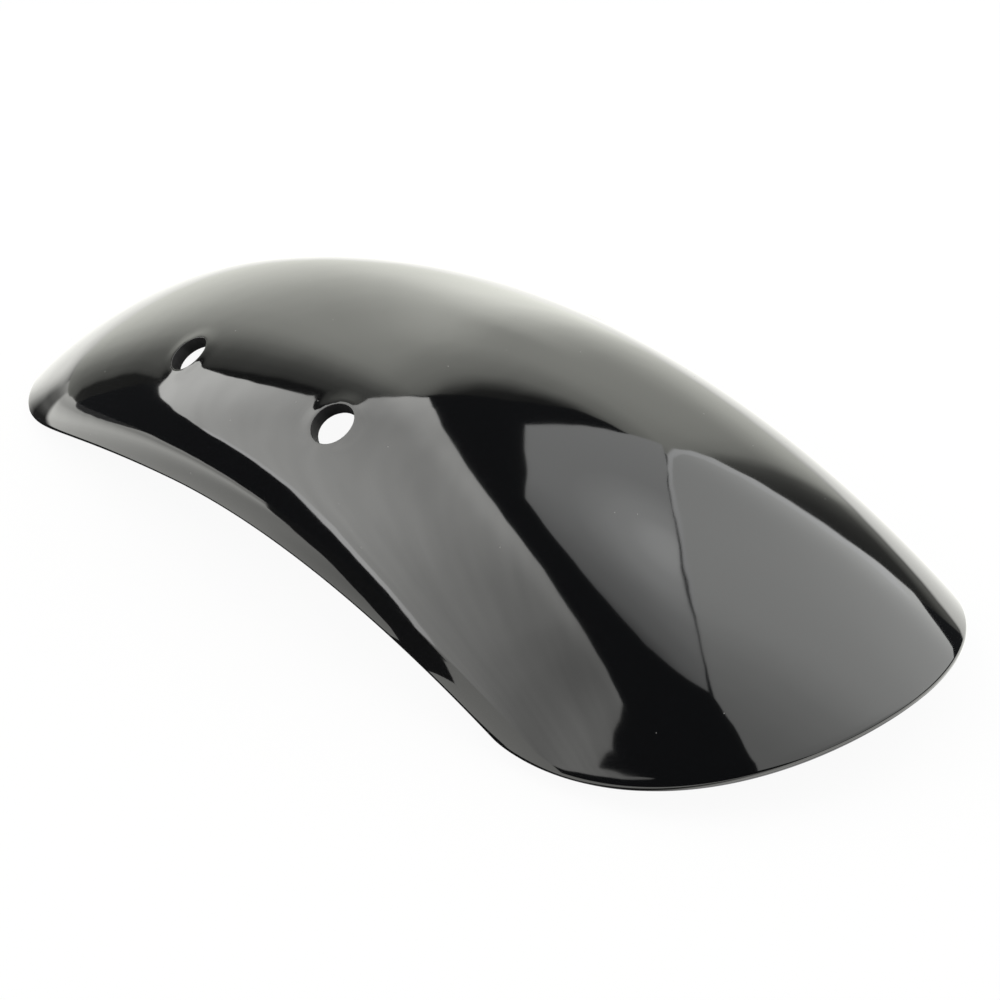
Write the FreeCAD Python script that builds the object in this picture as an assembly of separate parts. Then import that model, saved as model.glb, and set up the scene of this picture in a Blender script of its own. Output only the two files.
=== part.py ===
import FreeCAD, Part
import math
import os

Vector = FreeCAD.Vector
os.makedirs("parts", exist_ok=True)

# Front mudguard, one moulded shell. Lengths are in mm and angles in degrees.
# While it is built the wheel axle is the Y axis and the crest is straight above it.

# Crowned section, across the width
crest_radius = 218.0      # outside of the crest, from the axle
half_width = 51.0         # outside of one skirt, from the middle
crown_depth = 33.0        # crest down to where the skirt is upright
crest_handle = 19.0       # pull of the section curve along the crest
skirt_handle = 20.6       # pull of the section curve up the skirt
wall = 2.8

# Lower edge, seen from the side
edge_trim = 1.0           # how much of the skirt is left off at mid length
edge_radius = 220.0

# Nose, the broad rounded end toward +X
nose_angle = 33.5         # crest tip, from straight up
nose_lean = 9.5           # lean of the end line back from the radius
nose_tip_handle = 5.5     # pull of the end line at the crest
nose_join = 72.0          # where the end line meets the lower edge, along X
nose_join_handle = 10.0   # pull of the end line at the lower edge

# Tail, the end toward -X, with a long sweep up from the lower edge
tail_angle = 36.0
tail_lean = 38.0
tail_tip_handle = 40.0
tail_join = 24.0
tail_join_handle = 69.5

# Bolt holes, square to the outer surface
hole_diameter = 9.0       # clearance for an 8 mm bolt
hole_tail_angle = -10.2   # pair toward the tail, from straight up
hole_tail_offset = 35.7   # their centres on the outer surface, from the middle
hole_nose_angle = 3.9     # pair toward the nose
hole_nose_offset = 36.7

# Softened edges
rim_round = 0.9
hole_round = 0.25

# Working values with no size of their own in the finished part
SECTION_POINTS = 10       # points taken on each half of the section
REACH = 30.0              # how far cutters stand clear of the wall
TIP_CLEAR = 3.0           # how far outside the crest an end line starts


def bezier(poles, t):
    """Point on a cubic curve given by its four poles."""
    s = 1.0 - t
    weights = (s * s * s, 3 * s * s * t, 3 * s * t * t, t * t * t)
    return sum((p * k for p, k in zip(poles, weights)), Vector())


def bezier_slope(poles, t):
    """Direction of the same curve."""
    s = 1.0 - t
    weights = (3 * s * s, 6 * s * t, 3 * t * t)
    steps = [poles[i + 1] - poles[i] for i in range(3)]
    return sum((p * k for p, k in zip(steps, weights)), Vector())


def turned(vector, degrees):
    """A vector turned about the axle, crest toward +X."""
    return FreeCAD.Rotation(Vector(0, 1, 0), degrees).multVec(vector)


# Half of the outer section in the upright plane through the axle
half_section = [
    Vector(0, 0, crest_radius),
    Vector(0, crest_handle, crest_radius),
    Vector(0, half_width, crest_radius - crown_depth + skirt_handle),
    Vector(0, half_width, crest_radius - crown_depth),
]

# Both halves as one smooth curve, turned about the axle to make the outer skin
section_points = []
for i in range(-SECTION_POINTS, SECTION_POINTS + 1):
    p = bezier(half_section, abs(i) / SECTION_POINTS)
    section_points.append(Vector(0, math.copysign(p.y, i), p.z))
section = Part.BSplineCurve()
section.interpolate(section_points)
section_edge = section.toShape()
over_run = 4.0
section_edge.rotate(Vector(), Vector(0, 1, 0), -tail_angle - over_run)
skin = section_edge.revolve(Vector(), Vector(0, 1, 0), tail_angle + nose_angle + 2 * over_run)

# Side outline: the lower edge is one arc, and each end is one curve tangent to it
edge_height = crest_radius - crown_depth + edge_trim
edge_centre = Vector(0, 0, edge_height - edge_radius)


def edge_point(x):
    """Point on the lower edge at a place along X."""
    return Vector(x, 0, edge_centre.z + math.sqrt(edge_radius ** 2 - x ** 2))


def end_line(side, angle, lean, tip_handle, join, join_handle):
    """Poles from the crest tip to the lower edge; side is +1 at the nose and -1 at the tail."""
    tip = turned(Vector(0, 0, crest_radius), side * angle)
    inward = turned(Vector(0, 0, -1), side * (angle + lean))
    foot = edge_point(side * join)
    outward = Vector(0, side, 0).cross(foot - edge_centre).normalize()
    return [tip - inward * TIP_CLEAR, tip + inward * tip_handle, foot + outward * join_handle, foot]


def curve_edge(poles):
    """Cubic edge through its poles."""
    curve = Part.BezierCurve()
    curve.setPoles(poles)
    return curve.toShape()


nose = end_line(1, nose_angle, nose_lean, nose_tip_handle, nose_join, nose_join_handle)
tail = end_line(-1, tail_angle, tail_lean, tail_tip_handle, tail_join, tail_join_handle)
nose_start = nose[0] - (nose[1] - nose[0]).normalize() * REACH
tail_start = tail[0] - (tail[1] - tail[0]).normalize() * REACH
top = Vector(0, 0, crest_radius + 2 * REACH)
outline = Part.Wire([
    Part.makeLine(nose_start, nose[0]),
    curve_edge(nose),
    Part.Arc(nose[3], edge_point(0), tail[3]).toShape(),
    curve_edge(tail[::-1]),
    Part.makeLine(tail[0], tail_start),
    Part.makeLine(tail_start, top),
    Part.makeLine(top, nose_start),
])
outline.translate(Vector(0, -half_width - REACH, 0))
side_solid = Part.Face(outline).extrude(Vector(0, 2 * (half_width + REACH), 0))

# Trim the skin to the outline, then give it its wall inward, with a rim square to the surface
trimmed = skin.common(side_solid).Faces[0]
shell = trimmed.makeOffsetShape(-wall, 1e-4, fill=True).Solids[0]
skins = sorted(shell.Faces, key=lambda face: face.Area)[-2:]
shell = shell.makeFillet(rim_round, skins[0].OuterWire.Edges + skins[1].OuterWire.Edges)


def section_share(width):
    """Share of the half section at which it is this far from the middle."""
    low, high = 0.0, 1.0
    for step in range(40):
        share = (low + high) / 2
        if bezier(half_section, share).y < width:
            low = share
        else:
            high = share
    return share


# Drill the four holes and soften their edges
hole_radius = hole_diameter / 2
hole_pairs = ((hole_tail_angle, hole_tail_offset), (hole_nose_angle, hole_nose_offset))
for angle, offset in hole_pairs:
    share = section_share(offset)
    point = bezier(half_section, share)
    slope = bezier_slope(half_section, share).normalize()
    for side in (-1, 1):
        centre = turned(Vector(0, side * point.y, point.z), angle)
        axis = turned(Vector(0, -side * slope.z, slope.y), angle)
        drill = Part.makeCylinder(hole_radius, 2 * REACH / 3, centre - axis * REACH / 3, axis)
        shell = shell.cut(drill).Solids[0]
        print("hole", centre, axis)
hole_edges = []
for face in shell.Faces:
    if face.Surface.TypeId == "Part::GeomCylinder" and abs(face.Surface.Radius - hole_radius) < 1e-6:
        hole_edges += [edge for edge in face.Edges if edge.Length > hole_diameter]
shell = shell.makeFillet(hole_round, hole_edges)

# Set down on the ground, with the middle of the length and width at the origin
box = shell.optimalBoundingBox(False)
print("moved by", -box.Center.x, -box.Center.y, -box.ZMin)
shell.translate(Vector(-box.Center.x, -box.Center.y, -box.ZMin))
shell.exportStep("parts/front_mudguard.step")
print("valid", shell.isValid(), "faces", len(shell.Faces), "volume", shell.Volume)
print("box", shell.optimalBoundingBox(False))
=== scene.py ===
# %% [markdown]
# A front mudguard for a small motorbike: one thin moulded shell, crowned across the
# tyre and arched along it, in deep black gloss. Its shape is simple to say and hard to
# show, because a mirror finish gives away every dent in the mesh. So this lesson spends
# its care on an even grid of faces, and then on what the gloss has to reflect.

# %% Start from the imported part
import bpy
import math
from bisect import bisect_right
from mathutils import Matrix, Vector


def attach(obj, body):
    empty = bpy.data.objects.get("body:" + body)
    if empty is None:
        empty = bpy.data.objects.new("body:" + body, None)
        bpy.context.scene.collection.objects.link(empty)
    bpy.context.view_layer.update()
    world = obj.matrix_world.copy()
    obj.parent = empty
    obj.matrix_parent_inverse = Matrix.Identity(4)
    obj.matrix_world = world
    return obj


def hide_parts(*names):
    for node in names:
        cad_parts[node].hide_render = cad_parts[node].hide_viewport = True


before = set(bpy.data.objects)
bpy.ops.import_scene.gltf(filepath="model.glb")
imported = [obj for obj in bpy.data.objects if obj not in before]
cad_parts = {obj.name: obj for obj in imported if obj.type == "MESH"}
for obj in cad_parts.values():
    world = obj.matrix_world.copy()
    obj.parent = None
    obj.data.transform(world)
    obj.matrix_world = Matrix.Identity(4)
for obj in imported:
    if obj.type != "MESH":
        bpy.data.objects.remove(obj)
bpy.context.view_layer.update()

# %% [markdown]
# The shell has the same sizes as the solid part, so they are named once here. Only the
# edges of the holes are left crisper, as a close look at the gloss shows them. The
# section across the tyre is a cubic curve from the crest to the skirt. It is carried
# round the wheel's axle, which lies well below the ground that the shell rests on.

# %% Sizes of the shell, in metres and radians
mm = 0.001
crest_radius = 218.0 * mm
half_width = 51.0 * mm
crown_depth = 33.0 * mm
crest_handle = 19.0 * mm
skirt_handle = 20.6 * mm
wall = 2.8 * mm
edge_trim = 1.0 * mm
edge_radius = 220.0 * mm
rim_round = 0.9 * mm
hole_round = 0.12 * mm
hole_radius = 4.5 * mm
axle = Vector((4.140, 0.0, -170.847)) * mm


def half_section(share):
    """Width from the middle and distance from the axle, at a share of the half section."""
    rest = 1.0 - share
    width = 3 * crest_handle * share * rest ** 2 + half_width * share ** 2 * (3 * rest + share)
    drop = 3 * (crown_depth - skirt_handle) * share ** 2 * rest + crown_depth * share ** 3
    return width, crest_radius - drop


def on_shell(angle, share, side=1):
    """Point of the outer surface: angle along the arch, share of the section, side of the middle."""
    width, radius = half_section(share)
    return axle + Vector((radius * math.sin(angle), side * width, radius * math.cos(angle)))


print("crest", on_shell(0, 0), "skirt", on_shell(0, 1))

# %% [markdown]
# Distances over the curved surface are easier to work with than shares of a curve, so
# the section is measured once in small steps. After that a share can be turned into
# millimetres from the crest, and back again, by looking it up.

# %% Measure the section
STEPS = 400
HALVINGS = 40
section_shares = [i / STEPS for i in range(STEPS + 1)]
section_lengths = [0.0]
for i in range(STEPS):
    step = on_shell(0, section_shares[i + 1]) - on_shell(0, section_shares[i])
    section_lengths.append(section_lengths[-1] + step.length)


def looked_up(x, xs, ys):
    """Value of a table of steps at x, straight between the steps."""
    i = min(max(bisect_right(xs, x) - 1, 0), len(xs) - 2)
    k = (x - xs[i]) / (xs[i + 1] - xs[i])
    return ys[i] + (ys[i + 1] - ys[i]) * k


def length_of(share):
    return looked_up(share, section_shares, section_lengths)


def share_of(length):
    return looked_up(length, section_lengths, section_shares)


def share_where(holds):
    """Share of the half section up to which a test holds, found by halving."""
    low, high = 0.0, 1.0
    for i in range(HALVINGS):
        share = (low + high) / 2
        if holds(share):
            low = share
        else:
            high = share
    return share


print("half section is %.1f mm long" % (section_lengths[-1] / mm))

# %% [markdown]
# Seen from the side, the lower edge is one arc and each end is one smooth curve that
# leaves the crest and runs into that arc. Walking along this outline gives the rim of
# the near half, from the nose tip round to the tail tip, as places on the surface.

# %% Side outline
nose_angle = math.radians(33.5)
nose_lean = math.radians(9.5)
nose_tip_handle = 5.5 * mm
nose_join = 72.0 * mm
nose_join_handle = 10.0 * mm
tail_angle = math.radians(36.0)
tail_lean = math.radians(38.0)
tail_tip_handle = 40.0 * mm
tail_join = 24.0 * mm
tail_join_handle = 69.5 * mm
tip_clear = 3.0 * mm
edge_low = crest_radius - crown_depth + edge_trim - edge_radius
END_STEPS, EDGE_STEPS = 900, 300


def edge_point(x):
    return Vector((x, edge_low + math.sqrt(edge_radius ** 2 - x ** 2)))


def end_line(side, angle, lean, tip_handle, join, join_handle):
    """Poles of an end line, in the upright plane along the wheel; side is -1 at the tail."""
    tip = crest_radius * Vector((side * math.sin(angle), math.cos(angle)))
    turn = angle + lean
    inward = Vector((-side * math.sin(turn), -math.cos(turn)))
    foot = edge_point(side * join)
    outward = Vector((foot.y - edge_low, -foot.x)) * side / edge_radius
    return [tip - inward * tip_clear, tip + inward * tip_handle, foot + outward * join_handle, foot]


def bezier(poles, t):
    s = 1.0 - t
    weights = (s ** 3, 3 * s * s * t, 3 * s * t * t, t ** 3)
    return sum((p * k for p, k in zip(poles, weights)), Vector((0, 0)))


def place_of(point):
    """Angle and share of a point of the side outline."""
    share = share_where(lambda share: half_section(share)[1] > point.length)
    return math.atan2(point.x, point.y), share


nose = end_line(1, nose_angle, nose_lean, nose_tip_handle, nose_join, nose_join_handle)
tail = end_line(-1, tail_angle, tail_lean, tail_tip_handle, tail_join, tail_join_handle)
edge_span = nose_join + tail_join
walk = [bezier(nose, i / END_STEPS) for i in range(END_STEPS)]
walk += [edge_point(nose_join - edge_span * i / EDGE_STEPS) for i in range(EDGE_STEPS)]
walk += [bezier(tail, 1 - i / END_STEPS) for i in range(END_STEPS + 1)]

rim = [place_of(p) for p in walk if p.length < crest_radius]
rim[0] = (rim[0][0], 0.0)
rim[-1] = (rim[-1][0], 0.0)
rim_points = [on_shell(*place, side=-1) for place in rim]
rim_lengths = [0.0]
for a, b in zip(rim_points, rim_points[1:]):
    rim_lengths.append(rim_lengths[-1] + (b - a).length)
print("near rim is %.1f mm long" % (rim_lengths[-1] / mm))

# %% [markdown]
# A grid of faces that stops at this rim has to turn its rows along it. So a second line
# is laid 2 mm inside the rim: the grid fills that line, and one last strip of faces, of
# even width, reaches from it out to the rim, where the edge will be rounded.

# %% Line inside the rim
STRIP = 2.0 * mm
SHARE_STEP = 0.002


def shares_beside(share):
    """Shares a small step before and after this one."""
    return max(share - SHARE_STEP, 0), min(share + SHARE_STEP, 1)


inner = []
for i, (angle, share) in enumerate(rim):
    before, after = rim_points[max(i - 1, 0)], rim_points[min(i + 1, len(rim) - 1)]
    along = (after - before).normalized()
    if i in (0, len(rim) - 1):
        along = Vector((0, -1 if i == 0 else 1, 0))
    forward = Vector((math.cos(angle), 0, -math.sin(angle)))
    upper, lower = shares_beside(share)
    down = (on_shell(angle, lower, -1) - on_shell(angle, upper, -1)).normalized()
    if share < SHARE_STEP:
        down = Vector((0, -1, 0))
    inward = forward.cross(down).cross(along).normalized()
    middle = on_shell(0, 0) - rim_points[i]
    if inward.dot(middle) < 0:
        inward = -inward
    moved_angle = angle + inward.dot(forward) * STRIP / half_section(share)[1]
    moved_length = max(length_of(share) + inward.dot(down) * STRIP, 0.0)
    inner.append((moved_angle, share_of(moved_length)))
print("inner line from", inner[0], "to", inner[-1])

# %% [markdown]
# The grid has four sides: the crest line, the two ends and the long lower edge. The
# corners are put where the rim stops running across the shell and starts running along
# it, so that the faces stay nearly square. Blending the four sides gives every point.

# %% Blend the grid
ALONG, ACROSS = 224, 60
TIP_STEPS = 5


def turning_place(order):
    """First place on the rim, in this order, where it runs more along than across."""
    for i in order:
        step = rim_points[i + 1] - rim_points[i]
        angle = rim[i][0]
        ahead = abs(step.dot(Vector((math.cos(angle), 0, -math.sin(angle)))))
        if ahead > math.sqrt(max(step.length_squared - ahead ** 2, 0)):
            return rim_lengths[i]


nose_corner = turning_place(range(TIP_STEPS, len(rim) - TIP_STEPS))
tail_corner = turning_place(range(len(rim) - TIP_STEPS - 1, TIP_STEPS, -1))
whole = rim_lengths[-1]
inner_angles = [place[0] for place in inner]
inner_lengths = [length_of(place[1]) for place in inner]


def inner_line(length):
    """Angle and distance from the crest, on the inner line at a length of the rim."""
    angle = looked_up(length, rim_lengths, inner_angles)
    return Vector((angle, looked_up(length, rim_lengths, inner_lengths)))


def crest_line(u):
    return Vector((inner_angles[-1] + (inner_angles[0] - inner_angles[-1]) * u, 0.0))


def blended(u, v):
    """Place in the near half of the grid: u from tail to nose, v from crest to lower edge."""
    lower = inner_line(tail_corner + (nose_corner - tail_corner) * u)
    tail_end = inner_line(whole + (tail_corner - whole) * v)
    nose_end = inner_line(nose_corner * v)
    k = Vector((v * v, v))
    place = Vector((0.0, 0.0))
    for axis in (0, 1):
        w = k[axis]
        sides = crest_line(u)[axis] * (1 - w) + lower[axis] * w
        ends = tail_end[axis] * (1 - u) + nose_end[axis] * u
        top = crest_line(0)[axis] * (1 - u) + crest_line(1)[axis] * u
        foot = inner_line(tail_corner)[axis] * (1 - u) + inner_line(nose_corner)[axis] * u
        place[axis] = sides + ends - top * (1 - w) - foot * w
    return place


grid = [[blended(i / ALONG, j / ACROSS) for j in range(ACROSS + 1)] for i in range(ALONG + 1)]
print("corners at %.1f and %.1f mm of the rim" % (nose_corner / mm, tail_corner / mm))

# %% [markdown]
# A hole that is cut across the rows leaves slivers, and slivers show in gloss. Here the
# rows make way instead: around each hole, square rings of grid points are eased into
# round ones, and the ring that becomes the hole's edge is set exactly on its circle.

# %% Places about the holes
hole_tail_angle = math.radians(-10.2)
hole_tail_offset = 35.7 * mm
hole_nose_angle = math.radians(3.9)
hole_nose_offset = 36.7 * mm
hole_places = [(hole_tail_angle, hole_tail_offset), (hole_nose_angle, hole_nose_offset)]


def share_at_width(width):
    return share_where(lambda share: half_section(share)[0] < width)


def flat(place, hole):
    """Place about a hole's middle, true to size: along the arch and down the section."""
    radius = half_section(share_of(place[1]))[1]
    return Vector(((place[0] - hole[0]) * radius, place[1] - hole[1]))


hole_middles = [(angle, length_of(share_at_width(width))) for angle, width in hole_places]
print("holes at %.1f and %.1f mm from the crest" % tuple(hole[1] / mm for hole in hole_middles))

# %% Make way for the holes
BLOCK, REACH, SPAN = 4, 13, 5
RING_STEP, RING_GROWTH = 0.45, 0.06
hole_blocks = []


def round_angle(a, b):
    """Evenly spaced angle for a step on a square ring."""
    if abs(a) >= abs(b):
        return math.pi / 4 * b / a + (0 if a > 0 else math.pi)
    return math.pi / 2 - math.pi / 4 * a / b + (0 if b > 0 else math.pi)


def ring_radius(ring, cell):
    """Radius of a ring of grid points; those just outside a hole lie closer together."""
    if ring <= BLOCK:
        return hole_radius * ring / BLOCK
    out = ring - BLOCK
    return hole_radius + cell * (RING_STEP * out + RING_GROWTH * out ** 2)


for hole in hole_middles:
    rows = range(ALONG + 1)
    spots = [(flat(grid[i][j], hole).length, i, j) for i in rows for j in range(ACROSS + 1)]
    hi, hj = min(spots)[1:]
    hole_blocks.append((hi, hj))
    cell = (flat(grid[hi + SPAN][hj], hole) - flat(grid[hi - SPAN][hj], hole)).length / (2 * SPAN)
    for a in range(-REACH, REACH + 1):
        for b in range(-REACH, REACH + 1):
            ring = max(abs(a), abs(b))
            if ring == 0 or not 0 < hj + b < ACROSS:
                continue
            angle = round_angle(a, b)
            circle = Vector((math.cos(angle), math.sin(angle))) * ring_radius(ring, cell)
            ease = min(max((REACH + 1 - ring) / (REACH + 1 - BLOCK), 0), 1)
            ease = ease * ease * (3 - 2 * ease)
            spot = flat(grid[hi + a][hj + b], hole).lerp(circle, ease)
            length = spot.y + hole[1]
            radius = half_section(share_of(length))[1]
            grid[hi + a][hj + b] = Vector((hole[0] + spot.x / radius, length))
    print("hole near grid point", hi, hj, "cell %.2f mm" % (cell / mm))

# %% [markdown]
# The moulding swells a little round each hole, by about a sixth of a millimetre. It is
# far too low to see by itself, but the gloss shows it: the reflections bend as they come
# to a hole. So each point near a hole is moved outward by a low, round lip.

# %% Lip round the holes
LIP_HEIGHT = 0.165 * mm
LIP_WIDTH = 3.1 * mm


def lip(place):
    """How far the surface swells at a place near a hole."""
    swell = 0.0
    for hole in hole_middles:
        away = flat(place, hole).length - hole_radius
        if away < LIP_WIDTH:
            swell += LIP_HEIGHT * (1 - (max(away, 0) / LIP_WIDTH) ** 2) ** 2
    return swell


def outward(angle, share, side):
    """Direction square to the outer surface."""
    near, far = (half_section(beside) for beside in shares_beside(share))
    across, fall = far[0] - near[0], near[1] - far[1]
    return Vector((across * math.sin(angle), side * fall, across * math.cos(angle))).normalized()


print("lip at the edge of a hole %.2f mm" % (LIP_HEIGHT / mm))

# %% [markdown]
# Now the mesh itself. A flat grid primitive already has the right rows of faces, so it
# is added once, and each of its points is lifted to its place on the crowned surface.

# %% Lift a flat grid onto the surface
for obj in bpy.context.selected_objects:
    obj.select_set(False)
bpy.ops.mesh.primitive_grid_add(
    x_subdivisions=ALONG, y_subdivisions=2 * ACROSS, size=2, location=(0, 0, 0))
shell = bpy.context.object
shell.name = "mudguard_shell"
shell.data.name = "mudguard_shell"
numbers = {}
for v in shell.data.vertices:
    i = round((v.co.x + 1) / 2 * ALONG)
    j = round(v.co.y * ACROSS)
    numbers[v.index] = (i, j)
    place = grid[i][abs(j)]
    spot = (place[0], share_of(place[1]), -1 if j < 0 else 1)
    v.co = on_shell(*spot) + outward(*spot) * lip(place)
print("grid of", len(shell.data.polygons), "faces")

# %% [markdown]
# The holes are opened by deleting the blocks of faces inside their rings. The numbers of
# the points change with that, so the outer ones are first noted by their places.

# %% Open the holes


def start_selection(kind):
    """Go to edit mode with nothing selected."""
    bpy.ops.object.mode_set(mode="EDIT")
    bpy.ops.mesh.select_mode(type=kind)
    bpy.ops.mesh.select_all(action="DESELECT")


def key_of(point):
    """A place rounded so that it can be looked up."""
    return tuple(round(c, 7) for c in point)


start_selection("FACE")
bpy.ops.object.mode_set(mode="OBJECT")
for face in shell.data.polygons:
    corners = [numbers[v] for v in face.vertices]
    for hi, hj in hole_blocks:
        if all(abs(i - hi) <= BLOCK and abs(abs(j) - hj) <= BLOCK for i, j in corners):
            face.select = True
opened = sum(face.select for face in shell.data.polygons)
rim_seeds = {}
for v in shell.data.vertices:
    i, j = numbers[v.index]
    if i in (0, ALONG) or abs(j) == ACROSS:
        rim_seeds[key_of(v.co)] = (i, j)
bpy.ops.object.mode_set(mode="EDIT")
bpy.ops.mesh.delete(type="FACE")
bpy.ops.object.mode_set(mode="OBJECT")
print("opened", opened, "faces for the holes")

# %% [markdown]
# The last strip is an extrusion of the outer boundary. Extruding leaves the new points
# on top of the old ones, so each is then moved out to its own place on the true rim.

# %% Reach out to the rim
rim_angles = [place[0] for place in rim]
rim_shares = [place[1] for place in rim]


def rim_place(i, j):
    """Point of the true rim that a point of the grid's boundary faces."""
    if abs(j) == ACROSS:
        length = tail_corner + (nose_corner - tail_corner) * i / ALONG
    elif i == 0:
        length = whole + (tail_corner - whole) * abs(j) / ACROSS
    else:
        length = nose_corner * abs(j) / ACROSS
    angle = looked_up(length, rim_lengths, rim_angles)
    share = looked_up(length, rim_lengths, rim_shares)
    return on_shell(angle, share, -1 if j < 0 else 1)


edge_faces = {}
for face in shell.data.polygons:
    for key in face.edge_keys:
        edge_faces[key] = edge_faces.get(key, 0) + 1
start_selection("EDGE")
bpy.ops.object.mode_set(mode="OBJECT")
for edge in shell.data.edges:
    ends = [key_of(shell.data.vertices[v].co) for v in edge.vertices]
    edge.select = edge_faces[edge.key] == 1 and all(end in rim_seeds for end in ends)
bpy.ops.object.mode_set(mode="EDIT")
bpy.ops.mesh.extrude_edges_move()
bpy.ops.object.mode_set(mode="OBJECT")
reached = 0
for v in shell.data.vertices:
    if v.select:
        v.co = rim_place(*rim_seeds[key_of(v.co)])
        reached += 1
print("strip of", reached, "points out to the rim")

# %% [markdown]
# Solidify gives the skin its wall, measured inward, with rims square to the surface.

# %% Wall
wall_modifier = shell.modifiers.new("wall", "SOLIDIFY")
wall_modifier.thickness = wall
wall_modifier.offset = -1
wall_modifier.use_even_offset = True
bpy.ops.object.modifier_apply(modifier="wall")
print("with its wall", len(shell.data.polygons), "faces")

# %% [markdown]
# Then the sharp edges are rounded: the long rim softly, as on a moulding that has been
# trimmed and flamed, and the edges of the holes much less. Sharp edges are found by
# their angle, and told apart by whether they lie close to a hole.

# %% Rounded edges
SHARP = math.radians(60)
NEAR_HOLE = 8 * mm
RIM_SEGMENTS, HOLE_SEGMENTS = 4, 3
hole_centres = []
for hole_angle, hole_width in hole_places:
    for side in (-1, 1):
        hole_centres.append(on_shell(hole_angle, share_at_width(hole_width), side))


def round_edges(at_holes, size, segments):
    """Bevel the sharp edges of the rim, or those of the holes."""
    start_selection("EDGE")
    bpy.ops.mesh.edges_select_sharp(sharpness=SHARP)
    bpy.ops.object.mode_set(mode="OBJECT")
    points = shell.data.vertices
    for edge in shell.data.edges:
        middle = (points[edge.vertices[0]].co + points[edge.vertices[1]].co) / 2
        near = any((middle - centre).length < NEAR_HOLE for centre in hole_centres)
        if near != at_holes:
            edge.select = False
    count = sum(edge.select for edge in shell.data.edges)
    bpy.ops.object.mode_set(mode="EDIT")
    bpy.ops.mesh.bevel(offset=size, segments=segments, profile=0.5, affect="EDGES")
    bpy.ops.object.mode_set(mode="OBJECT")
    return count


print("rounded", round_edges(False, rim_round, RIM_SEGMENTS), "rim edges")
print("rounded", round_edges(True, hole_round, HOLE_SEGMENTS), "hole edges")

# %% [markdown]
# Smooth shading takes its normals from all the faces round a point. Large faces are given
# more weight, so that the narrow rounded edges don't pull the broad ones out of true. Then
# the shell is attached to the root body, and the solid part it replaces is hidden.

# %% Smooth shading
bpy.ops.object.shade_smooth()
normals = shell.modifiers.new("normals", "WEIGHTED_NORMAL")
normals.weight = 80
normals.keep_sharp = False
bpy.ops.object.modifier_apply(modifier="normals")
triangles = sum(len(face.vertices) - 2 for face in shell.data.polygons)
print("shell has", triangles, "triangles")

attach(shell, "root")
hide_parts("front_mudguard")

# %% [markdown]
# Finishes are built from shader nodes. Writing their sums as plain Python is easier to
# read than wiring, so one small class stands for a number that flows between nodes, and
# another adds a node of any kind with its settings first and its inputs after.

# %% Helpers for finishes


class Flow:
    """A number, colour or vector flowing out of a node; arithmetic on it adds Math nodes."""

    def __init__(self, graph, socket):
        self.graph = graph
        self.socket = socket

    def _math(self, operation, first, second):
        return self.graph.add("ShaderNodeMath", {"operation": operation}, {0: first, 1: second})

    def __add__(self, other):
        return self._math("ADD", self, other)

    def __radd__(self, other):
        return self._math("ADD", other, self)

    def __sub__(self, other):
        return self._math("SUBTRACT", self, other)

    def __rsub__(self, other):
        return self._math("SUBTRACT", other, self)

    def __mul__(self, other):
        return self._math("MULTIPLY", self, other)

    def __rmul__(self, other):
        return self._math("MULTIPLY", other, self)

    def __truediv__(self, other):
        return self._math("DIVIDE", self, other)

    def __rtruediv__(self, other):
        return self._math("DIVIDE", other, self)

    def __lt__(self, other):
        return self._math("LESS_THAN", self, other)

    def __gt__(self, other):
        return self._math("GREATER_THAN", self, other)


class Graph:
    """The nodes of one finish."""

    def __init__(self, owner):
        owner.use_nodes = True
        self.tree = owner.node_tree
        self.tree.nodes.clear()

    def add(self, kind, settings, inputs, output=0):
        """A node of any kind: its settings, then the values or links of its sockets."""
        node = self.tree.nodes.new(kind)
        for name, value in settings.items():
            if name == "stops":
                for extra in value[2:]:
                    node.color_ramp.elements.new(extra[0])
                for element, (place, grey) in zip(node.color_ramp.elements, value):
                    element.position = place
                    element.color = (grey, grey, grey, 1)
                node.color_ramp.interpolation = "CARDINAL"
            else:
                setattr(node, name, value)
        for name, value in inputs.items():
            if isinstance(value, Flow):
                self.tree.links.new(value.socket, node.inputs[name])
            else:
                node.inputs[name].default_value = value
        return Flow(self, node.outputs[output]) if len(node.outputs) else node

    def place(self):
        """Place on the object, in metres."""
        return self.add("ShaderNodeTexCoord", {}, {}, "Object")

    def dot(self, first, second):
        """Dot product of two vectors."""
        return self.add("ShaderNodeVectorMath", {"operation": "DOT_PRODUCT"}, {0: first, 1: second}, "Value")

    def along(self, direction):
        """How far along a direction a place on the object lies."""
        return self.dot(self.place(), direction)

    def larger(self, first, second):
        """The larger of two numbers."""
        return self.add("ShaderNodeMath", {"operation": "MAXIMUM"}, {0: first, 1: second})

    def ramp(self, value, stops):
        """A level that changes smoothly with a value; stops are pairs of value and level."""
        low, high = stops[0][0], stops[-1][0]
        most = max(level for at, level in stops)
        scaled = [((at - low) / (high - low), level / most) for at, level in stops]
        share = (value - low) * (1 / (high - low))
        return self.add("ShaderNodeValToRGB", {"stops": scaled}, {0: share}) * most

    def mix(self, share, first, second, blend="MIX"):
        """Two colours mixed, or multiplied."""
        settings = {"data_type": "RGBA", "blend_type": blend}
        return self.add("ShaderNodeMix", settings, {0: share, 6: first, 7: second}, 2)

    def glow(self, colour):
        """Light of a colour, given off evenly all round."""
        return self.add("ShaderNodeEmission", {}, {"Color": colour, "Strength": 1.0})

    def surface(self, shader):
        self.add("ShaderNodeOutputMaterial", {}, {"Surface": shader})


# %% [markdown]
# Only the face of the moulding is polished. The walls of the drilled holes are raw, so
# they are greyer and dull. A place is in a hole when it is near the hole's axis, which a
# few nodes can measure. The far holes mirror the near ones, so the width is used without
# its sign, and two axes serve for four holes.

# %% Raw walls of the holes
RAW_MARGIN = 0.06 * mm


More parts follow.
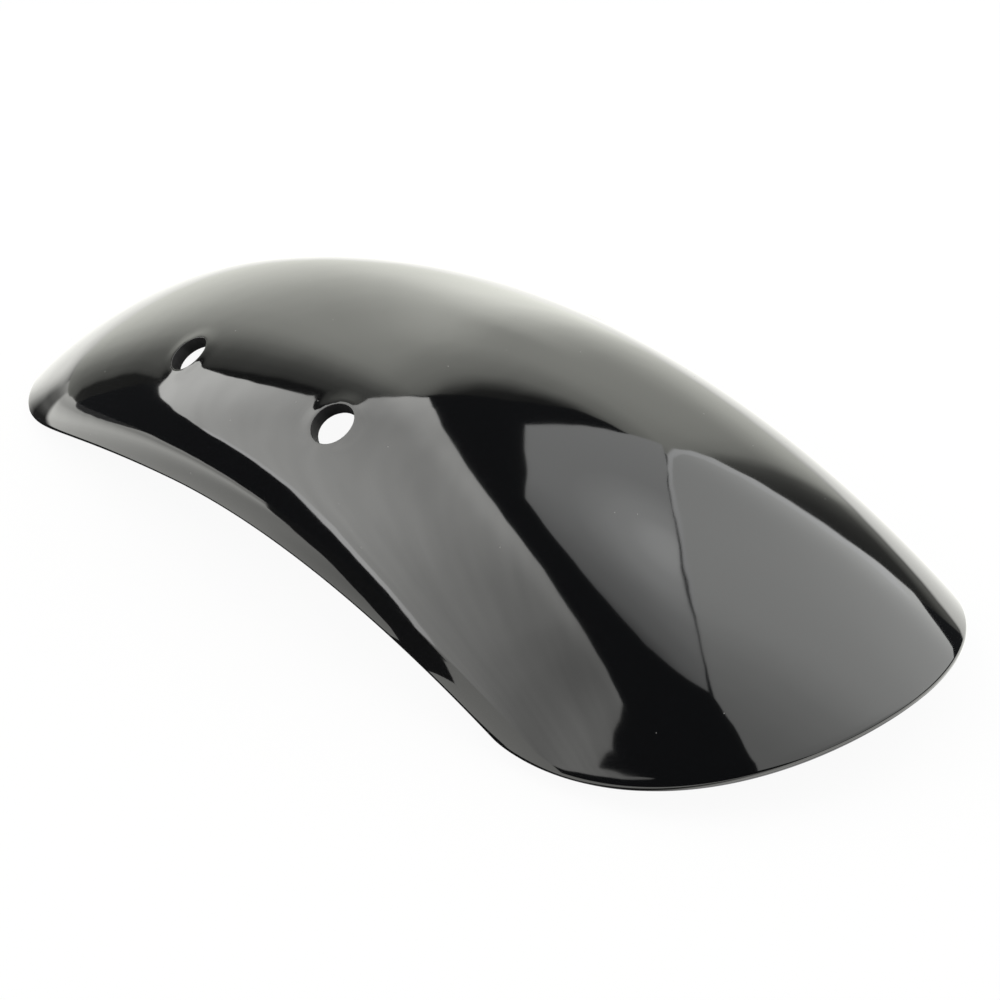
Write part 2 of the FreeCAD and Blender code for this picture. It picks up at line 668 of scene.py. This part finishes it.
def raw_walls(g):
    """One inside a drilled hole and zero elsewhere."""
    x, y, z = (g.along(axis) for axis in ((1, 0, 0), (0, 1, 0), (0, 0, 1)))
    width = g.add("ShaderNodeMath", {"operation": "ABSOLUTE"}, {0: y})
    place = g.add("ShaderNodeCombineXYZ", {}, {0: x, 1: width, 2: z})
    inside = 0.0
    for hole_angle, hole_width in hole_places:
        spot = (hole_angle, share_at_width(hole_width), 1)
        offset = g.add("ShaderNodeVectorMath", {"operation": "SUBTRACT"}, {0: place, 1: on_shell(*spot)})
        depth = g.dot(offset, outward(*spot))
        inside = inside + (g.dot(offset, offset) - depth * depth < (hole_radius + RAW_MARGIN) ** 2)
    return inside


print("raw walls within %.2f mm of an axis" % ((hole_radius + RAW_MARGIN) / mm))

# %% [markdown]
# The real shell is black plastic with a polished face. Its body colour is almost black,
# so nearly all that is seen of it is mirrored. No moulding is perfectly even: a very low
# ripple, given to the normals by a Bump node, makes the edges of reflections waver. The
# polish is a little duller in places, and a few specks of dust lie on it.

# %% Black gloss
RIPPLE_HEIGHT = 0.12 * mm
SPECK_SIZE = 0.026
BODY_BLACK = (0.0022, 0.0023, 0.0027, 1)
RAW_BLACK = (0.011, 0.011, 0.012, 1)
DUST_GREY = (0.16, 0.16, 0.155, 1)
gloss = bpy.data.materials.new("black_gloss")
g = Graph(gloss)
ripple = g.add("ShaderNodeTexNoise", {}, {"Vector": g.place(), "Scale": 110.0, "Detail": 1.0})
swell = g.add("ShaderNodeTexNoise", {}, {"Vector": g.place(), "Scale": 32.0, "Detail": 0.0})
bump = g.add("ShaderNodeBump", {}, {
    "Height": ripple * 0.3 + swell * 0.7,
    "Strength": 1.0,
    "Distance": RIPPLE_HEIGHT,
})
speck = g.add("ShaderNodeTexVoronoi", {}, {"Vector": g.place(), "Scale": 210.0}, "Distance")
dust = speck < SPECK_SIZE
raw = raw_walls(g)
haze = g.add("ShaderNodeTexNoise", {}, {"Vector": g.place(), "Scale": 18.0, "Detail": 3.0})
g.surface(g.add("ShaderNodeBsdfPrincipled", {}, {
    "Base Color": g.mix(raw, g.mix(dust, BODY_BLACK, DUST_GREY), RAW_BLACK),
    "Roughness": haze * 0.05 + dust * 0.4 + raw * 0.42 + 0.02,
    "Specular IOR Level": 1.0,
    "Normal": bump,
}))
shell.data.materials.clear()
shell.data.materials.append(gloss)
print("material", gloss.name, "with", len(gloss.node_tree.nodes), "nodes")

# %% [markdown]
# The photographed view is from above the nose corner. The camera stands close, under a
# third of a metre away, which is why the near corner looks so large beside the tail.

# %% Camera
camera_turn = math.radians(46.704)
camera_rise = math.radians(29.344)
camera_away = 293.017 * mm
camera_aim = Vector((24.633, 0, 7.646)) * mm
sensor_width = 36
lens_in_sensor_widths = 1.409269


def bearing(turn, rise):
    """Direction out from the middle; it turns from -Y toward +X and rises from the floor."""
    return Vector((math.sin(turn) * math.cos(rise), -math.cos(turn) * math.cos(rise), math.sin(rise)))


camera_data = bpy.data.cameras.new("camera")
camera = bpy.data.objects.new("camera", camera_data)
bpy.context.scene.collection.objects.link(camera)
back = bearing(camera_turn, camera_rise)
camera.location = camera_aim + back * camera_away
camera.rotation_euler = (-back).to_track_quat("-Z", "Y").to_euler()
camera_data.sensor_width = sensor_width
camera_data.lens = lens_in_sensor_widths * sensor_width
camera_data.clip_start = 0.01
bpy.context.scene.camera = camera
bpy.context.scene.view_settings.view_transform = "Standard"
print("camera", camera.location)

# %% [markdown]
# Gloss is lit by what it mirrors, so the lights are large flat sheets with real outlines.
# Each sheet stands one metre out along a bearing, and its corners are given in its own
# plane. A shade function says how bright it is from place to place: a diffuser is never
# even, it is brighter where the lamp behind it is near. A hem lies just in front of its
# sheet.

# %% Sheets of light
SHEET_AWAY = 1.0
HEM_AWAY = 0.995


def sheet(name, points):
    """A flat sheet through its points, hidden from the camera, as part of the studio."""
    bpy.ops.mesh.primitive_circle_add(vertices=len(points), fill_type="NGON")
    flat_sheet = bpy.context.object
    flat_sheet.name = name
    for v, point in zip(flat_sheet.data.vertices, points):
        v.co = point
    flat_sheet.visible_camera = False
    return flat_sheet


def light(name, turn, rise, corners, shade, tint, away=SHEET_AWAY):
    """A sheet of light on a bearing, in degrees; corners and shade are in its own plane."""
    out = bearing(math.radians(turn), math.radians(rise))
    side = out.cross(Vector((0, 0, 1))).normalized()
    up = side.cross(out)
    flat_sheet = sheet(name, [out * away + side * x + up * y for x, y in corners])
    diffuser = bpy.data.materials.new(name)
    g = Graph(diffuser)
    level = shade(g, g.along(side), g.along(up))
    g.surface(g.glow(g.mix(1.0, level, tint, "MULTIPLY")))
    flat_sheet.data.materials.append(diffuser)
    print(name, len(corners), "corners")


# %% [markdown]
# The main light hangs over the near side. It is a soft cloth diffuser, brightest toward
# the tail, with faint folds, and its lower hem catches more light than the rest.

# %% Near light


def near_shade(g, x, y):
    across = g.ramp(x, [
        (-0.98, 0.8), (-0.85, 1.1), (-0.70, 1.3), (-0.60, 1.13), (-0.50, 1.2), (-0.40, 1.5), (-0.20, 1.95),
        (0.0, 2.5), (0.30, 2.5), (0.45, 2.4), (0.60, 2.85), (0.80, 3.1), (1.0, 3.1),
    ])
    upward = g.ramp(y, [(-0.7, 1.0), (0.1, 1.0), (0.35, 0.88), (0.6, 0.86), (0.72, 1.05), (0.9, 1.05)])
    folds = g.add("ShaderNodeTexNoise", {}, {
        "Vector": g.add("ShaderNodeCombineXYZ", {}, {0: x * 9.0 - y * 8.0, 1: y * 1.2 + x}),
        "Scale": 1.0,
        "Detail": 2.0,
    })
    return across * upward * (folds * 0.3 + 0.85)


def hem_shade(g, x, y):
    return g.ramp(x, [(-0.3, 2.4), (-0.1, 3.4), (0.1, 3.2), (0.45, 2.8)])


light("near_light", -35, 35, [
    (0.80, -0.25), (0.70, -0.29), (0.55, -0.31), (0.43, -0.32), (0.25, -0.29), (0.13, -0.295), (0.05, -0.35),
    (-0.05, -0.44), (-0.13, -0.53), (-0.18, -0.60), (-0.205, -0.716), (-0.63, -0.716), (-0.70, -0.58),
    (-0.77, -0.365), (-0.84, -0.14), (-0.88, -0.02), (-0.94, 0.165), (-0.99, 0.35), (-0.99, 0.42),
    (-0.955, 0.352), (-0.915, 0.279), (-0.881, 0.196), (-0.849, 0.115), (-0.818, 0.034), (-0.788, -0.055),
    (-0.795, 0.15), (-0.805, 0.24), (-0.775, 0.38), (-0.76, 0.52), (-0.72, 0.65), (-0.60, 0.72),
    (-0.40, 0.76), (-0.20, 0.78), (0.30, 0.79), (0.50, 0.82), (0.70, 0.865), (0.655, 0.74), (0.60, 0.60),
    (0.56, 0.45), (0.575, 0.30), (0.66, 0.17), (0.76, 0.06), (0.88, -0.02), (0.95, -0.09), (0.90, -0.15),
], near_shade, (1, 1, 0.97, 1))
light("near_light_hem", -35, 35, [
    (0.43, -0.318), (0.25, -0.288), (0.13, -0.293), (0.05, -0.348), (-0.05, -0.438), (-0.13, -0.528),
    (-0.18, -0.598), (-0.205, -0.705), (-0.26, -0.705), (-0.235, -0.60), (-0.19, -0.51), (-0.10, -0.41),
    (0.0, -0.31), (0.12, -0.255), (0.25, -0.255), (0.43, -0.295),
], hem_shade, (1, 1, 0.99, 1), HEM_AWAY)

# %% [markdown]
# Overhead is a small folded softbox with one hot spot where its lamp sits.

# %% Top light


def top_shade(g, x, y):
    fall = g.ramp(y, [(-0.27, 0.4), (-0.2, 0.8), (-0.1, 1.1), (0.0, 1.4), (0.1, 1.5), (0.8, 1.5)])
    off_x, off_y = x + 0.15, y - 0.2
    from_lamp = off_x * off_x + off_y * off_y
    hot = g.ramp(from_lamp, [(0.0, 0.65), (0.012, 0.38), (0.033, 0.2), (0.075, 0.0), (0.1, 0.0)])
    return fall * (hot + 1.0)


light("top_light", 0, 89.9, [
    (0.19, 0.84), (0.03, 0.54), (-0.064, 0.39), (-0.151, 0.245), (-0.232, 0.123), (-0.277, 0.065),
    (-0.318, 0.011), (-0.356, -0.04), (-0.393, -0.094), (-0.458, -0.187), (-0.40, -0.22), (-0.28, -0.26),
    (-0.10, -0.22), (0.05, -0.15), (0.15, -0.09), (0.23, 0.08), (0.325, 0.25), (0.27, 0.42), (0.22, 0.66),
], top_shade, (0.99, 1, 0.99, 1))

# %% [markdown]
# The right light stands behind the nose. Its near edge is turned over, which makes the
# bright line along the reflection's left side on the nose.

# %% Right light


def right_shade(g, x, y):
    return g.ramp(x, [
        (-1.0, 2.2), (-0.80, 2.2), (-0.70, 2.0), (-0.60, 1.82), (-0.45, 1.82), (-0.20, 2.0), (0.10, 2.0),
        (0.20, 1.82), (0.30, 1.55), (0.40, 1.35), (0.50, 1.2), (0.65, 1.05), (1.4, 1.0),
    ])


def turned_shade(g, x, y):
    return g.ramp(x, [(-0.9, 2.35), (-0.5, 2.35), (0.0, 2.25), (0.2, 2.0)])


light("right_light", 140, 45, [
    (-0.90, -0.69), (-0.89, -0.60), (-0.84, -0.42), (-0.81, -0.25), (-0.79, -0.10), (-0.76, 0.05),
    (-0.72, 0.15), (-0.65, 0.26), (-0.56, 0.34), (-0.45, 0.40), (-0.25, 0.48), (0.0, 0.57), (0.20, 0.63),
    (0.40, 0.69), (0.58, 0.73), (0.65, 0.68), (0.78, 0.65), (1.4, 0.4), (1.4, -0.69),
], right_shade, (0.99, 1, 0.98, 1))
light("right_light_edge", 140, 45, [
    (-0.87, -0.60), (-0.83, -0.42), (-0.80, -0.25), (-0.78, -0.10), (-0.75, 0.05), (-0.71, 0.15),
    (-0.645, 0.255), (-0.555, 0.335), (-0.45, 0.395), (-0.25, 0.475), (0.0, 0.565), (0.20, 0.625),
    (0.20, 0.61), (0.0, 0.55), (-0.25, 0.458), (-0.45, 0.376), (-0.55, 0.315), (-0.63, 0.23), (-0.69, 0.12),
    (-0.72, -0.03), (-0.738, -0.22), (-0.755, -0.40), (-0.77, -0.60),
], turned_shade, (0.99, 1, 1, 1), HEM_AWAY)

# %% [markdown]
# Behind the shell hangs a pale backdrop, lit from below, so a slanting streak of it is
# brightest. It fades out upward and to both sides, and that fade is what draws the long
# soft gradient over the crest.

# %% Backdrop
BACKDROP_TURN = -125


def back_shade(g, x, y):
    bend = g.ramp(y, [
        (0.0, 0.1), (0.025, 0.065), (0.043, 0.045), (0.063, 0.02), (0.12, 0.0), (0.3, 0.0), (0.38, 0.07),
        (0.45, 0.12), (0.6, 0.03), (0.7, 0.0),
    ])
    bend = bend * g.ramp(x, [(-0.9, 1.0), (-0.7, 0.0)])
    left = g.ramp(x + bend, [
        (-1.0, 0.06), (-0.95, 0.08), (-0.92, 0.22), (-0.88, 0.31), (-0.80, 0.41), (-0.70, 0.63),
        (-0.60, 0.98), (-0.50, 1.32), (-0.40, 1.5), (-0.30, 1.55),
    ])
    right = g.ramp(x, [
        (-0.3, 1.0), (-0.05, 0.97), (0.20, 0.9), (0.50, 0.85), (0.80, 0.82), (0.90, 0.74), (0.98, 0.55),
        (1.03, 0.27), (1.08, 0.16), (1.2, 0.08), (1.6, 0.05),
    ])
    upward = g.ramp(y, [
        (0.0, 0.98), (0.2, 0.99), (0.42, 0.86), (0.6, 0.9), (0.8, 1.0), (1.0, 1.05), (1.8, 1.05),
    ])
    arch = y - (x - 0.12) * (x - 0.12) * 0.85
    top = g.ramp(arch, [
        (1.0, 1.0), (1.2, 0.84), (1.3, 0.75), (1.4, 0.62), (1.5, 0.33), (1.6, 0.1), (1.7, 0.05),
    ])
    high = g.ramp(y, [(0.45, 0.0), (0.65, 1.0)]) * g.ramp(x, [(-0.9, 0.3), (-0.7, 0.22), (-0.5, 0.0)])
    streak = g.ramp(x + y * 0.39, [
        (0.0, 0.0), (0.1, 0.1), (0.18, 0.24), (0.3, 0.47), (0.38, 0.43), (0.48, 0.14), (0.58, 0.0),
    ])
    low = g.ramp(y, [(0.0, 1.0), (0.7, 1.0), (1.0, 0.4), (1.2, 0.0)])
    spot = g.ramp(y, [(0.05, 0.0), (0.2, 0.1), (0.4, 0.25), (0.5, 0.24), (0.65, 0.06), (0.75, 0.0)])
    spot = spot * g.ramp(x, [(-0.5, 0.0), (-0.2, 0.7), (0.1, 1.1), (0.25, 1.7), (0.38, 1.0), (0.5, 0.0)])
    foot = g.ramp(y, [(0.0, 1.0), (0.06, 0.8), (0.16, 0.0), (0.2, 0.0)])
    foot = foot * g.ramp(x, [(0.9, 0.0), (1.1, 0.25), (1.6, 0.2)])
    left_foot = g.ramp(y, [(0.0, 1.0), (0.009, 0.5), (0.02, 0.3), (0.035, 0.2), (0.06, 0.05), (0.1, 0.0)])
    left_foot = left_foot * g.ramp(x, [(-1.1, 0.1), (-0.85, 0.17), (-0.55, 0.0)])
    return left * right * upward * top * (1 - high) * (streak * low + spot + 1.0) + foot + left_foot


light("backdrop", BACKDROP_TURN, 0, [
    (-1.12, 0.0), (-1.12, 1.70), (-0.75, 1.72), (-0.40, 1.75), (0.10, 1.75), (0.45, 1.62), (0.70, 1.69),
    (0.90, 1.71), (1.60, 1.8), (1.60, 0.0),
], back_shade, (1, 1.01, 0.93, 1))

# %% [markdown]
# The floor is white paper. To a mirrored ray it is as bright as paper under studio
# lights: brightest in front of the tail, where a lamp is close, and toward the backdrop
# as bright as the backdrop's foot, so that no seam shows between the two. The tail's own
# soft shadow spreads over it as a fan.

# %% Light on the paper
PAPER_LEVEL = 1.75


def paper_light(g, x, y):
    """How bright the paper looks in the gloss."""
    in_front = g.ramp(y, [(-0.056, 1.0), (-0.044, 0.0)])
    front = g.ramp(x - (y + 0.06) * 0.5, [
        (-0.7, 1.5), (-0.31, 1.3), (-0.25, 1.6), (-0.2, 1.85), (-0.15, 2.1), (-0.125, 1.95), (-0.106, 1.75),
        (-0.065, 1.3), (-0.015, 1.18), (0.008, 0.98), (0.03, 1.0), (0.06, 1.25), (0.1, 1.25),
    ])
    near = in_front * (front - PAPER_LEVEL) + PAPER_LEVEL
    distance = g.add("ShaderNodeVectorMath", {"operation": "LENGTH"}, {0: g.place()}, "Value")
    far = g.ramp(distance, [
        (0.3, 0.0), (0.46, 0.23), (0.56, 0.4), (0.72, 0.56), (0.85, 0.73), (1.05, 1.0),
    ])
    out = bearing(math.radians(BACKDROP_TURN), 0)
    across = g.along(out.cross(Vector((0, 0, 1))))
    away = g.larger(g.along(out), 0.05)
    return near + (back_shade(g, across / away, 0.0) - near) * (far * (1 - in_front))


def tail_shadow(g, x, y):
    """How much the tail's fan of shadow takes away, wider and fainter farther out."""
    spread = g.larger(0.0013 - x * 0.045 + x * x * 0.03, 0.005)
    fan = g.ramp((y - x * 0.02 + 0.0481) / spread, [
        (-1.3, 0.0), (-1.1, 0.05), (-0.9, 0.6), (-0.7, 1.0), (0.3, 1.0), (1.0, 0.55), (1.6, 0.2), (2.4, 0.0),
    ])
    depth = g.ramp(x, [
        (-1.5, 0.3), (-0.8, 0.4), (-0.5, 0.48), (-0.36, 0.6), (-0.21, 0.83), (-0.156, 0.86), (-0.12, 0.97),
        (-0.09, 0.97),
    ])
    return fan * depth


print("paper level %.2f of white" % PAPER_LEVEL)

# %% [markdown]
# To the camera most of the paper glows at exactly white, and the rest is lit, so that a
# faint shadow stays under the shell. What kind of ray is looking decides which it sees.

# %% Floor
FLOOR_SIZE = 6
FLOOR_DROP = 0.2 * mm
WHITE_SHARE = 0.94
PAPER_TINT = (1, 1, 0.955, 1)
bpy.ops.mesh.primitive_plane_add(size=FLOOR_SIZE, location=(0, 0, -FLOOR_DROP))
floor = bpy.context.object
floor.name = "floor"
paper = bpy.data.materials.new("white_paper")
g = Graph(paper)
camera_ray = g.add("ShaderNodeLightPath", {}, {}, "Is Camera Ray")
glossy_ray = g.add("ShaderNodeLightPath", {}, {}, "Is Glossy Ray")
through_ray = g.add("ShaderNodeLightPath", {}, {}, "Is Transmission Ray")
lit = g.add("ShaderNodeBsdfDiffuse", {}, {"Color": (0.85, 0.85, 0.85, 1)})
white = g.glow((1, 1, 1, 1))
seen = g.add("ShaderNodeMixShader", {}, {0: camera_ray * WHITE_SHARE + through_ray, 1: lit, 2: white})
floor_x, floor_y = g.along((1, 0, 0)), g.along((0, 1, 0))
paper_level = paper_light(g, floor_x, floor_y) * (1 - tail_shadow(g, floor_x, floor_y))
mirrored = g.glow(g.mix(1.0, paper_level, PAPER_TINT, "MULTIPLY"))
g.surface(g.add("ShaderNodeMixShader", {}, {0: glossy_ray, 1: seen, 2: mirrored}))
floor.data.materials.append(paper)
print("floor", floor.dimensions)

# %% [markdown]
# Painted shadows lie on the floor as dark sheets, seen only in reflections; they give the
# gloss its dark lines. One lies under the shell, where no light reaches, and is greyer in
# front of the nose. Two more stand in for the shell's shadow on the floor: they point away
# from the nose corner and from the tail, and their reflections run out along the skirt as
# the dark wedges on the shell.

# %% Painted shadows on the floor
SHADOW_DROP = 0.1 * mm


def painted_shadow(name, corners, shade):
    """A painted shadow: a dark sheet on the floor, seen only in reflections; shade gives its level along X.
    """
    shadow_sheet = sheet(name, [Vector((x, y, -SHADOW_DROP)) for x, y in corners])
    shadow_sheet.visible_diffuse = False
    shadow_sheet.visible_shadow = False
    shadow_sheet.visible_transmission = False
    shadow_tone = bpy.data.materials.new(name)
    g = Graph(shadow_tone)
    g.surface(g.glow(g.ramp(g.along((1, 0, 0)), shade)))
    shadow_sheet.data.materials.append(shadow_tone)
    print(name, len(corners), "corners")


# Painted shadow under the shell, where no light reaches; greyer in front of the nose.
painted_shadow("painted_shadow_under", [
    (-0.100, -0.045), (-0.090, -0.055), (-0.070, -0.060), (0.0, -0.0625), (0.052, -0.0625), (0.075, -0.058),
    (0.092, -0.051), (0.105, -0.041), (0.117, -0.030), (0.127, -0.015), (0.130, 0.0), (0.127, 0.015),
    (0.117, 0.030), (0.092, 0.051), (0.070, 0.056), (-0.070, 0.056), (-0.100, 0.045),
], [(0.08, 0.03), (0.095, 0.2), (0.11, 0.4), (0.13, 0.5)])
# Painted shadow of the shell, pointing away from the nose corner.
painted_shadow("painted_shadow_front", [
    (0.034, -0.060), (0.037, -0.069), (0.028, -0.079), (-0.009, -0.110), (-0.05, -0.147), (-0.10, -0.182),
    (-0.15, -0.227), (-0.25, -0.305), (-0.40, -0.45), (-2.9, -2.86), (-0.3, -2.9), (-0.45, -1.3),
    (-0.54, -1.12), (-0.20, -0.53), (-0.10, -0.37), (-0.05, -0.285), (-0.019, -0.213), (0.0, -0.175),
    (0.033, -0.112), (0.047, -0.086), (0.049, -0.073), (0.050, -0.060),
], [(-0.1, 0.04), (0.1, 0.04)])
# Painted shadow of the shell, pointing away from the tail.
painted_shadow("painted_shadow_left", [
    (-0.42, -0.19), (-0.47, -0.163), (-0.56, -0.166), (-0.70, -0.19), (-1.46, -0.34), (-2.9, -0.60),
    (-2.9, -1.63), (-0.70, -0.372), (-0.55, -0.28), (-0.47, -0.237),
], [(-0.6, 0.12), (-0.5, 0.12)])

# %% [markdown]
# The rest of the room is dark, as a studio is, with only a trace of stray light.

# %% Room
STRAY_LIGHT = 0.035
world = bpy.data.worlds.new("studio")
world.use_nodes = True
room_light = world.node_tree.nodes["Background"]
room_light.inputs["Color"].default_value = (0.9, 0.95, 1, 1)
room_light.inputs["Strength"].default_value = STRAY_LIGHT
bpy.context.scene.world = world
print("room", world.name)
